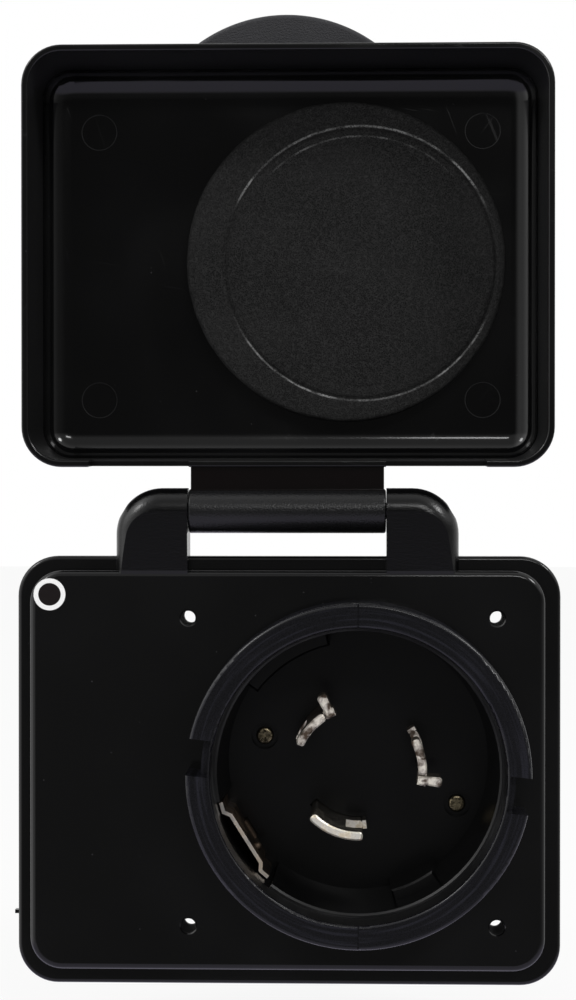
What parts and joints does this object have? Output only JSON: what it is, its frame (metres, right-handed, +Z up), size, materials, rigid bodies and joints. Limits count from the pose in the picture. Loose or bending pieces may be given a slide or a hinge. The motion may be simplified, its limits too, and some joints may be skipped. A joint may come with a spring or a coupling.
{
  "type": "power inlet",
  "caption": "Rectangular panel-mount power inlet with a slotted round cup, curved locking blades, a rear wiring cover and a deep hinged lid with a foam seal.",
  "frame": {"origin": "middle of the four panel-screw holes, on the back face of the flange", "axes": "+Z up along the panel towards the hinge, -Y out of the panel towards the user, +X to the user's right"},
  "size_m": [0.1366, 0.0942, 0.2464],
  "materials": {
    "gloss_black": "gloss",
    "satin_black": "satin",
    "carrier_plastic": "matte",
    "black_rubber": "matte",
    "grey_foam": "matte",
    "nickel_plate": "polished",
    "brass_screw": "satin",
    "terminal_brass": "satin",
    "zinc_steel": "satin"
  },
  "bodies": {
    "inlet": {"mounting_base": "gloss_black", "panel_gasket": "black_rubber", "contact_carrier": "carrier_plastic", "line_blade_1": "nickel_plate", "line_blade_2": "nickel_plate", "neutral_blade": "nickel_plate", "ground_clip": "nickel_plate", "carrier_screws": "brass_screw", "line_terminal_1": "terminal_brass", "line_terminal_2": "terminal_brass", "neutral_terminal": "terminal_brass", "ground_terminal": "terminal_brass", "terminal_screws": "zinc_steel", "rear_cover": "satin_black", "cover_screws": "zinc_steel", "gland_bush": "black_rubber", "gland_nut": "satin_black", "hinge_pin": "zinc_steel"},
    "lid_body": {"lid": "gloss_black", "seal_pad": "grey_foam"}
  },
  "joints": [
    {"name": "lid_hinge", "type": "hinge", "parent": "inlet", "child": "lid_body", "pos_m": [-0.0137, -0.006, 0.0645], "axis": [1, 0, 0], "range_deg": [0, 180]}
  ]
}
